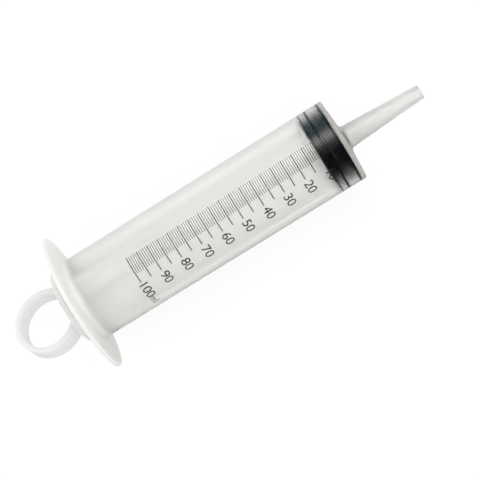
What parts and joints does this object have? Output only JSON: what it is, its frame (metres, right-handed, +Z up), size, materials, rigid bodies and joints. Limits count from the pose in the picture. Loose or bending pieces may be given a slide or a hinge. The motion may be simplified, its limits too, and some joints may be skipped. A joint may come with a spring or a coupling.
{
  "type": "catheter tip syringe",
  "caption": "Large clear syringe with a long tapered catheter tip, oval finger flange, black rubber stopper and a cross-ribbed plunger rod that ends in a thumb ring.",
  "frame": {"origin": "centre of the catheter tip's mouth, on the syringe's axis", "axes": "+X along the axis, out of the mouth of the tip; +Z up as the syringe lies; Y across, along the finger flange's long side"},
  "size_m": [0.2062, 0.0656, 0.045],
  "materials": {
    "clear_polypropylene": "moulded, milky clear, glossy outside",
    "black_rubber": "moulded, satin",
    "white_polypropylene": "moulded, milky white, satin"
  },
  "bodies": {
    "barrel": {"barrel": "clear_polypropylene"},
    "seal": {"stopper": "black_rubber"},
    "rod": {"plunger_rod": "white_polypropylene"}
  },
  "joints": [
    {"name": "stopper_slide", "type": "slide", "parent": "barrel", "child": "seal", "axis": [-1, 0, 0], "range_m": [0, 0.1177]},
    {"name": "rod_swivel", "type": "hinge", "parent": "seal", "child": "rod", "pos_m": [-0.0513, 0, 0], "axis": [1, 0, 0], "continuous": true}
  ]
}
